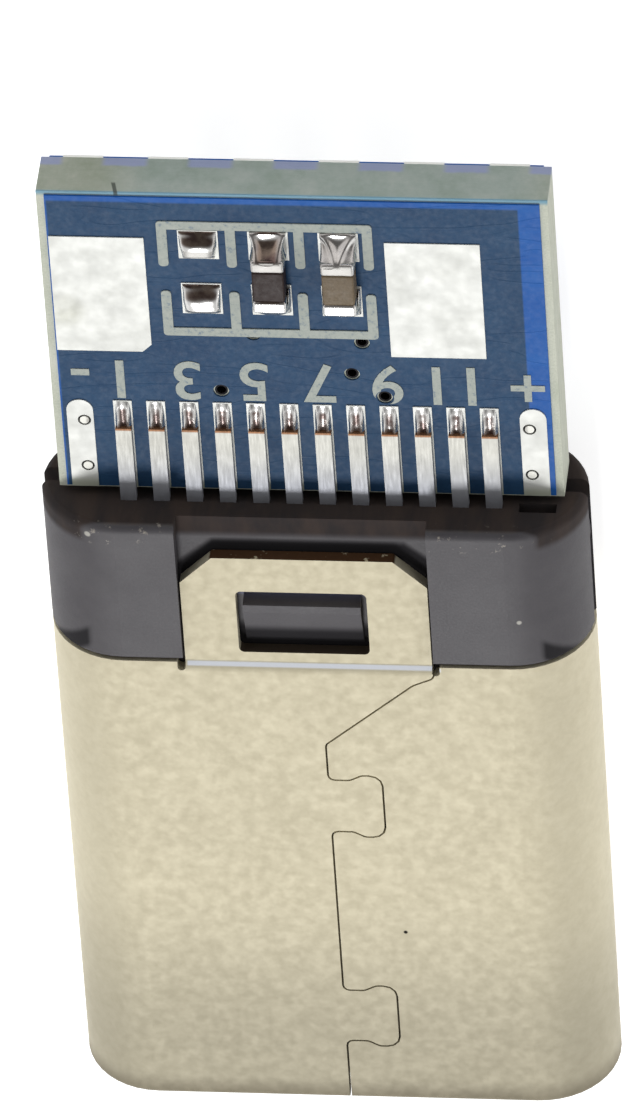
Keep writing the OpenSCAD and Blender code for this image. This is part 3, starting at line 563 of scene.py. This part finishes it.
class Lumps:
    """Collects closed lumps, each with a shaped top and a flat foot, into one mesh."""

    def __init__(self):
        self.points, self.faces = [], []

    def add(self, place, columns, rows, foot):
        """place(u, v) gives the top's points, in millimetres, for u and v from 0 to 1."""
        wide = columns + 1
        start = len(self.points)
        tops = [place(i / columns, j / rows) for j in range(rows + 1) for i in range(wide)]
        under = start + len(tops)
        self.points += [Vector(p) * MM for p in tops]
        self.points += [Vector((p[0], p[1], foot)) * MM for p in tops]
        for j in range(rows):
            for i in range(columns):
                a, b = j * wide + i, (j + 1) * wide + i
                self.faces.append((start + a, start + a + 1, start + b + 1, start + b))
                self.faces.append((under + b, under + b + 1, under + a + 1, under + a))
        rim = list(range(columns))
        rim += [j * wide + columns for j in range(rows)]
        rim += [rows * wide + i for i in range(columns, 0, -1)]
        rim += [j * wide for j in range(rows, 0, -1)]
        for a, b in zip(rim, rim[1:] + rim[:1]):
            self.faces.append((under + a, under + b, start + b, start + a))

    def mesh(self, name, crease=55):
        mesh = bpy.data.meshes.new(name)
        mesh.from_pydata(self.points, [], self.faces)
        mesh.shade_smooth()
        mesh.set_sharp_from_angle(angle=math.radians(crease))
        return mesh


def ripple(x, y, size, seed):
    """A small smooth unevenness, the same in every run."""
    return size * noise.noise(Vector((x * 5.0, y * 5.0, seed * 7.3)))


# Solder in front of the contacts' tips: two bright ridges with a hollow between. The ridges'
# place and width are shares of half the solder's width. The last value is the bare strip that
# solder leaves at the end of a pad
TAIL_HEIGHT = 0.105
RIDGE_AT, RIDGE_W = 0.66, 0.24
SOLDER_GAP = 0.02


def tail_lump(lumps, x, seed):
    """One contact's solder, which falls and narrows away from the tip."""
    y0, y1 = TAIL_END - 0.005, PADS_HIGH.y - SOLDER_GAP
    half = (TAIL_HIGH.x - TAIL_LOW.x) / 2 + 0.005
    lean = 0.02 * noise.noise(Vector((seed, 3.1, 0)))

    def place(u, v):
        side = 2 * u - 1
        narrow = 1 - 0.30 * v ** 3
        fall = 1 - smooth_step(v, 0.0, 1.0)
        ridge = math.exp(-(((abs(side) - RIDGE_AT) / RIDGE_W) ** 2))
        shoulder = (1 - abs(side) ** 5) ** 0.5
        height = 0.010 + TAIL_HEIGHT * (0.22 + 0.78 * fall) * (0.30 + 0.70 * ridge) * shoulder
        height *= 1 - 0.85 * smooth_step(v, 0.86, 1.0)
        px = x + side * half * narrow + lean * v
        py = y0 + (y1 - y0) * v
        return px, py, PAD_TOP + max(0.006, height + ripple(px, py, 0.012, seed))

    lumps.add(place, 12, 14, PAD_TOP)


def tail_solder():
    lumps = Lumps()
    for k in range(CONTACTS):
        tail_lump(lumps, FIRST_X + k * PITCH, k + 1)
    add_piece("tail_solder", "solder", lumps.mesh("tail_solder"), "upper_tail_solder")


# Two pillows of solder on the empty bay's pads: the pads' lengths, and the pillows' height
# in their middle and at their edge
LOW_PAD_LEN, HIGH_PAD_LEN = 0.58, 0.54
PILLOW_HEIGHT, PILLOW_EDGE = 0.135, 0.018


def pillow(lumps, x0, x1, y0, y1, flare, seed):
    """A pad's solder: flat where it shines, steep towards the free end."""
    middle, half = (x0 + x1) / 2, (x1 - x0) / 2

    def place(u, v):
        side = 2 * u - 1
        spread = 1 + flare * (v - 0.5)
        near = smooth_step(v, 0.0, 0.22)
        far = 1 - smooth_step(v, 0.52, 1.0)
        shoulder = (1 - abs(side) ** 4) ** 0.5
        swell = near * (0.15 + 0.85 * far) * shoulder
        height = PILLOW_EDGE + (PILLOW_HEIGHT - PILLOW_EDGE) * swell
        height *= 1 - 0.9 * smooth_step(v, 0.93, 1.0)
        px = middle + side * half * min(spread, 1.0)
        py = y0 + (y1 - y0) * v
        return px, py, PAD_TOP + max(0.006, height + ripple(px, py, 0.02, seed))

    lumps.add(place, 18, 20, PAD_TOP)


def spare_solder():
    lumps = Lumps()
    low_end = BAY_PADS_LOW.y + LOW_PAD_LEN - SOLDER_GAP
    high_start = BAY_PADS_HIGH.y - HIGH_PAD_LEN + SOLDER_GAP
    pillow(lumps, SPARE_LOW.x, SPARE_HIGH.x, SPARE_LOW.y, low_end, 0.1, 41)
    pillow(lumps, SPARE_LOW.x, SPARE_HIGH.x, high_start, SPARE_HIGH.y, 0.35, 42)
    add_piece("spare_pad_solder_shaped", "solder", lumps.mesh("spare_solder"), "spare_pad_solder")


def far_fillet(lumps, chip_low, chip_high, waist, horns, seed):
    """Concave solder from a chip's far end down to its pad, with raised horns."""
    middle = (chip_low.x + chip_high.x) / 2
    half = (chip_high.x - chip_low.x) / 2 + 0.02
    tall = chip_high.z - PAD_TOP - 0.02
    y0, y1 = chip_high.y - 0.07, FILLET_HIGH.y

    def place(u, v):
        side = 2 * u - 1
        pinch = 1 - waist * math.sin(math.pi * min(v * 1.15, 1.0))
        run = tall * (1 - smooth_step(v, -0.05, 0.9)) ** 1.7
        line = horns(abs(side), v)
        shoulder = (1 - abs(side) ** 8) ** 0.35
        horn = 0.075 * line * math.sin(math.pi * v) ** 0.7
        height = 0.03 + (run + horn) * (0.35 + 0.65 * shoulder)
        height *= 1 - 0.8 * smooth_step(v, 0.95, 1.0)
        px = middle + side * half * pinch
        py = y0 + (y1 - y0) * v
        return px, py, PAD_TOP + max(0.006, height + ripple(px, py, 0.015, seed))

    lumps.add(place, 22, 26, PAD_TOP)


def near_fillet(lumps, chip_low, chip_high, seed):
    """The bright lens of solder at a chip's near end, bulging past its cap."""
    middle = (chip_low.x + chip_high.x) / 2
    half = (chip_high.x - chip_low.x) / 2 + 0.03
    tall = (chip_high.z - PAD_TOP) * 0.97
    y_far = chip_low.y + 0.10

    def place(u, v):
        side = 2 * u - 1
        y_near = FILLET_LOW.y + 0.06 * side * side
        py = y_near + (y_far - y_near) * v
        shoulder = (1 - abs(side) ** 6) ** 0.5
        climb = smooth_step(v, -0.1, 0.95) ** 0.85
        height = 0.02 + (tall - 0.02) * climb * (0.3 + 0.7 * shoulder)
        px = middle + side * half
        return px, py, PAD_TOP + max(0.006, height + ripple(px, py, 0.012, seed))

    lumps.add(place, 18, 12, PAD_TOP)


# A bead's width, how far its middle lies out from the chip, and how far before it it starts
BEAD_WIDTH, BEAD_OUT, BEAD_BEFORE = 0.05, 0.015, 0.1


def side_bead(lumps, x, y0, y1, tall, seed):
    """A thin bead of solder along a chip's side."""
    foot = MASK_TOP

    def place(u, v):
        across = 2 * u - 1
        height = tall * (1 - across ** 2) ** 0.5 * math.sin(math.pi * (0.06 + 0.88 * v)) ** 0.6
        px, py = x + across * BEAD_WIDTH / 2, y0 + (y1 - y0) * v
        return px, py, foot + max(0.005, height + ripple(px, py, 0.01, seed))

    lumps.add(place, 6, 16, foot)


def bow_horns(side, v):
    """Ridges at both sides that part towards the pad's far corners."""
    return math.exp(-(((side - 0.55 - 0.40 * v) / 0.22) ** 2))


def y_horns(side, v):
    """Ridges that leave the chip's middle and part towards the far corners."""
    return math.exp(-(((side - 0.95 * v ** 1.3) / 0.20) ** 2))


def chip_solder():
    lumps = Lumps()
    resistor, capacitor = mm_box("resistor_ends"), mm_box("capacitor_ends")
    far_fillet(lumps, *resistor, 0.10, bow_horns, 51)
    far_fillet(lumps, *capacitor, 0.05, y_horns, 52)
    near_fillet(lumps, *resistor, 53)
    near_fillet(lumps, *capacitor, 54)
    for (low, high), seed in ((resistor, 55), (capacitor, 57)):
        start = low.y - BEAD_BEFORE
        side_bead(lumps, low.x - BEAD_OUT, start, low.y + 0.30, 0.22, seed)
        side_bead(lumps, high.x + BEAD_OUT, start, low.y + 0.26, 0.20, seed + 1)
    add_piece("chip_solder_shaped", "solder", lumps.mesh("chip_solder"), "chip_solder")


def rounded_block(bm, low, high, radius):
    """Adds a block with rounded edges and slightly uneven faces."""
    made = bmesh.ops.create_cube(bm, size=1.0)
    middle, size = (low + high) / 2, high - low
    for vert in made["verts"]:
        vert.co = Vector(c * s for c, s in zip(vert.co, size)) + middle
    edges = list({edge for vert in made["verts"] for edge in vert.link_edges})
    rounded = bmesh.ops.bevel(
        bm, geom=edges, offset=radius, segments=4, profile=0.5, affect="EDGES"
    )
    faces = list({face for vert in rounded["verts"] for face in vert.link_faces})
    flats = [edge for face in faces for edge in face.edges]
    bmesh.ops.subdivide_edges(bm, edges=list(set(flats)), cuts=2, use_grid_fill=True)


def block_mesh(name, boxes, radius, uneven):
    """Rounded blocks in one mesh, with their faces pushed about by up to uneven."""
    bm = bmesh.new()
    for low, high in boxes:
        rounded_block(bm, low, high, radius)
    for vert in bm.verts:
        at = vert.co * 6
        shift = Vector((noise.noise(at), noise.noise(at + Vector((9, 0, 0))), 0))
        vert.co = (vert.co + shift * uneven) * MM
    mesh = bpy.data.meshes.new(name)
    bm.to_mesh(mesh)
    bm.free()
    mesh.shade_smooth()
    mesh.set_sharp_from_angle(angle=math.radians(50))
    return mesh


# The chips' soldered caps and ceramic bodies, with their edge radius and unevenness
CAP_LEN = 0.22
CAP_ROUND, CAP_UNEVEN = 0.045, 0.006
BODY_ROUND, BODY_UNEVEN = 0.03, 0.004


def chips():
    for name, slot in (("resistor", "chip_dark"), ("capacitor", "chip_tan")):
        low, high = mm_box(name)
        body = block_mesh(name + "_block", [(low, high)], BODY_ROUND, BODY_UNEVEN)
        add_piece(name + "_body", slot, body, name)
        ends_low, ends_high = mm_box(name + "_ends")
        near = (ends_low, Vector((ends_high.x, ends_low.y + CAP_LEN, ends_high.z)))
        far = (Vector((ends_low.x, ends_high.y - CAP_LEN, ends_low.z)), ends_high)
        caps = block_mesh(name + "_cap_mesh", [near, far], CAP_ROUND, CAP_UNEVEN)
        add_piece(name + "_caps", "solder", caps, name + "_ends")


# The pins' numbers and the two marks, printed with their tops towards the contacts. A font's
# size is 1.4 times the height of its numbers. The holes' places are those of the traces' vias
TEXT_H = 0.74
FONT_SIZE = 1.4 * TEXT_H
STROKE_EXTRA = 0.012
TEXT_Y = (PADS_HIGH.y + GROUND_LOW.y) / 2 - 0.03
MARK_INSET = 0.25
INK = 0.012
VIA_CLEAR = 0.14
PEG_H = 0.2
TRACE_VIAS = ((-1.25, 4.895), (0.73, 5.275), (1.2, 4.835))


def text_object(name, text, x):
    curve = bpy.data.curves.new(name, "FONT")
    curve.body = text
    curve.align_x = "CENTER"
    curve.align_y = "CENTER"
    curve.size = FONT_SIZE * MM
    curve.extrude = INK / 2 * MM
    curve.offset = STROKE_EXTRA * MM
    curve.resolution_u = 5
    sign = bpy.data.objects.new(name, curve)
    bpy.context.collection.objects.link(sign)
    sign.location = Vector((x, TEXT_Y, MASK_TOP + INK / 2)) * MM
    sign.rotation_euler.z = math.pi
    return sign


def via_cutter():
    """Short pegs at the traces' holes, which the ink leaves free."""
    bm = bmesh.new()
    for x, y in TRACE_VIAS:
        place = Matrix.Translation(Vector((x, y, MASK_TOP)) * MM)
        bmesh.ops.create_cone(
            bm, cap_ends=True, segments=24, radius1=VIA_CLEAR * MM, radius2=VIA_CLEAR * MM,
            depth=PEG_H * MM, matrix=place,
        )
    mesh = bpy.data.meshes.new("via_cutter")
    bm.to_mesh(mesh)
    bm.free()
    cutter = bpy.data.objects.new("via_cutter", mesh)
    bpy.context.collection.objects.link(cutter)
    return cutter


def printed(name, text, x, cutter):
    """One printed sign as thin raised ink, cut free round the holes."""
    sign = text_object(name, text, x)
    bpy.context.view_layer.update()
    graph = bpy.context.evaluated_depsgraph_get()
    mesh = bpy.data.meshes.new_from_object(sign.evaluated_get(graph))
    mesh.transform(sign.matrix_world)
    bpy.data.objects.remove(sign)
    whole = bpy.data.objects.new(name + "_whole", mesh)
    bpy.context.collection.objects.link(whole)
    cut = whole.modifiers.new("holes", "BOOLEAN")
    cut.operation = "DIFFERENCE"
    cut.object = cutter
    bpy.context.view_layer.update()
    graph = bpy.context.evaluated_depsgraph_get()
    final = bpy.data.meshes.new_from_object(whole.evaluated_get(graph))
    bpy.data.objects.remove(whole)
    add_piece(name, "print_ink", final)


def pin_numbers():
    cutter = via_cutter()
    for place in range(1, CONTACTS, 2):
        printed(f"pin_number_{place}", str(place), FIRST_X + (place - 1) * PITCH, cutter)
    printed("minus_mark", "-", EARTH_LOW.x + MARK_INSET, cutter)
    printed("plus_mark", "+", EARTH_HIGH.x - MARK_INSET, cutter)
    bpy.data.objects.remove(cutter)


# The burr starts at this y, and reaches out from its root, which lies in from the side
BURR_START, BURR_LEN = 1.1, 1.2
BURR_ROOT, BURR_OUT = 0.16, 0.115


def burr():
    """A ragged bit of moulding flash in the gap between the housing's halves."""
    lumps = Lumps()
    gap_low, gap_high = LOWER_HOUSING_TOP, HOUSING_LOW.z

    def place(u, v):
        py = BURR_START + BURR_LEN * v
        coarse = noise.noise(Vector((py * 4.0, 2.0, 0.5)))
        ragged = coarse + 0.5 * noise.noise(Vector((py * 11, 5, 1)))
        px = HOUSING_HIGH.x - BURR_ROOT + (BURR_OUT + 0.05 * ragged) * u
        ends = math.sin(math.pi * (0.1 + 0.8 * v)) ** 0.4
        top = gap_low + (gap_high - gap_low) * (0.9 + 0.1 * ragged) * ends
        return px, py, top * (1 - 0.25 * u ** 3)

    lumps.add(place, 8, 60, gap_low)
    add_piece("flash_burr", "housing_plastic", lumps.mesh("flash_burr", 30))


tail_solder()
spare_solder()
chip_solder()
chips()
pin_numbers()
burr()


def math_node(tree, operation, *values):
    """The result of a math node that is fed with sockets or numbers."""
    node = tree.nodes.new("ShaderNodeMath")
    node.operation = operation
    for socket, value in zip(node.inputs, values):
        if isinstance(value, bpy.types.NodeSocket):
            tree.links.new(value, socket)
        else:
            socket.default_value = value
    return node.outputs[0]


def smooth_map(tree, value, start, end, at_start=0.0, at_end=1.0):
    """Goes smoothly from one level to another while value goes from start to end."""
    node = tree.nodes.new("ShaderNodeMapRange")
    node.interpolation_type = "SMOOTHSTEP"
    tree.links.new(value, node.inputs["Value"])
    levels = {"From Min": start, "From Max": end, "To Min": at_start, "To Max": at_end}
    for socket, level in levels.items():
        node.inputs[socket].default_value = level
    return node.outputs[0]


FLOOR_GLOW = 0.72


def floor_material():
    """White to the camera and to reflections, and a pale floor with a shadow for the rest."""
    material = bpy.data.materials.new("floor")
    material.use_nodes = True
    tree = material.node_tree
    shader = tree.nodes["Principled BSDF"]
    shader.inputs["Base Color"].default_value = (*grey(0.8), 1)
    shader.inputs["Roughness"].default_value = 1.0
    shader.inputs["Specular IOR Level"].default_value = 0.0
    shader.inputs["Emission Color"].default_value = (*grey(1), 1)
    rays = tree.nodes.new("ShaderNodeLightPath").outputs
    seen = math_node(tree, "MAXIMUM", rays["Is Camera Ray"], rays["Is Glossy Ray"])
    seen = math_node(tree, "MAXIMUM", seen, rays["Is Transmission Ray"])
    glow = math_node(tree, "MULTIPLY", seen, FLOOR_GLOW)
    tree.links.new(glow, shader.inputs["Emission Strength"])
    return material


FLOOR_HALF = 0.6
FLOOR_DROP = 0.00001


def stage():
    """A wide floor just under the plug."""
    mesh = bpy.data.meshes.new("floor")
    corners = [(-1, -1), (1, -1), (1, 1), (-1, 1)]
    mesh.from_pydata([(x * FLOOR_HALF, y * FLOOR_HALF, 0) for x, y in corners], [], [(0, 1, 2, 3)])
    floor = bpy.data.objects.new("floor", mesh)
    bpy.context.collection.objects.link(floor)
    floor.location.z = -FLOOR_DROP
    mesh.materials.append(floor_material())


# The sky's strength away from the photograph's side, on it, and at the horizon, and how much
# higher the horizon's white reaches to the left and right
SKY_BRIGHT, SKY_DIM, HORIZON = 0.62, 0.16, 1.0
SIDE_LIFT = 0.45


def world_light():
    """A white horizon under a soft sky that is dimmer on the photograph's side."""
    world = bpy.data.worlds.new("world")
    bpy.context.scene.world = world
    world.use_nodes = True
    tree = world.node_tree
    background = tree.nodes["Background"]
    coord = tree.nodes.new("ShaderNodeTexCoord")
    split = tree.nodes.new("ShaderNodeSeparateXYZ")
    tree.links.new(coord.outputs["Generated"], split.inputs[0])
    dot = tree.nodes.new("ShaderNodeVectorMath")
    dot.operation = "DOT_PRODUCT"
    tree.links.new(coord.outputs["Generated"], dot.inputs[0])
    dot.inputs[1].default_value = direction(CAMERA_AZIMUTH, CAMERA_ELEVATION)
    sky = smooth_map(tree, dot.outputs["Value"], 0.25, 0.95, SKY_BRIGHT, SKY_DIM)
    sideways = math_node(tree, "ABSOLUTE", split.outputs["X"])
    height = math_node(tree, "MULTIPLY_ADD", sideways, -SIDE_LIFT, split.outputs["Z"])
    low = smooth_map(tree, height, 0.32, 0.05)
    join = tree.nodes.new("ShaderNodeMix")
    tree.links.new(low, join.inputs[0])
    tree.links.new(sky, join.inputs[2])
    join.inputs[3].default_value = HORIZON
    background.inputs["Color"].default_value = (*grey(1), 1)
    tree.links.new(join.outputs[0], background.inputs["Strength"])


def lamp(name, azimuth, elevation, distance, size, radiance, target):
    """A square softbox of the given radiance, aimed at the target."""
    data = bpy.data.lights.new(name, "AREA")
    data.shape = "SQUARE"
    data.size = size
    data.energy = radiance * math.pi * size * size
    light = bpy.data.objects.new(name, data)
    bpy.context.collection.objects.link(light)
    away = direction(azimuth, elevation)
    light.location = target + away * distance
    light.rotation_euler = away.to_track_quat("Z", "Y").to_euler()


def camera():
    """The photograph's view: from beyond the board's free end, rolled almost half a turn."""
    distance = 266.31 * MM
    pixels_per_metre = 66.291 / MM
    aim = Vector((-0.085, 0.785, 0.682)) * MM
    away = direction(CAMERA_AZIMUTH, CAMERA_ELEVATION)
    data = bpy.data.cameras.new("camera")
    data.sensor_fit = "VERTICAL"
    data.sensor_height = 36
    data.lens = pixels_per_metre * distance / PHOTO_ROWS * data.sensor_height
    data.clip_start = 0.001
    data.clip_end = 10
    view = bpy.data.objects.new("camera", data)
    bpy.context.collection.objects.link(view)
    roll = Matrix.Rotation(math.radians(CAMERA_ROLL), 4, "Z")
    turn = away.to_track_quat("Z", "Y").to_matrix().to_4x4() @ roll
    view.matrix_world = Matrix.Translation(aim + away * distance) @ turn
    bpy.context.scene.camera = view


stage()
world_light()
centre = Vector((0, 0, MID_Z * MM))
lamp("key", azimuth=189, elevation=52, distance=0.25, size=0.055, radiance=34, target=centre)
camera()
bpy.context.scene.view_settings.view_transform = "Standard"
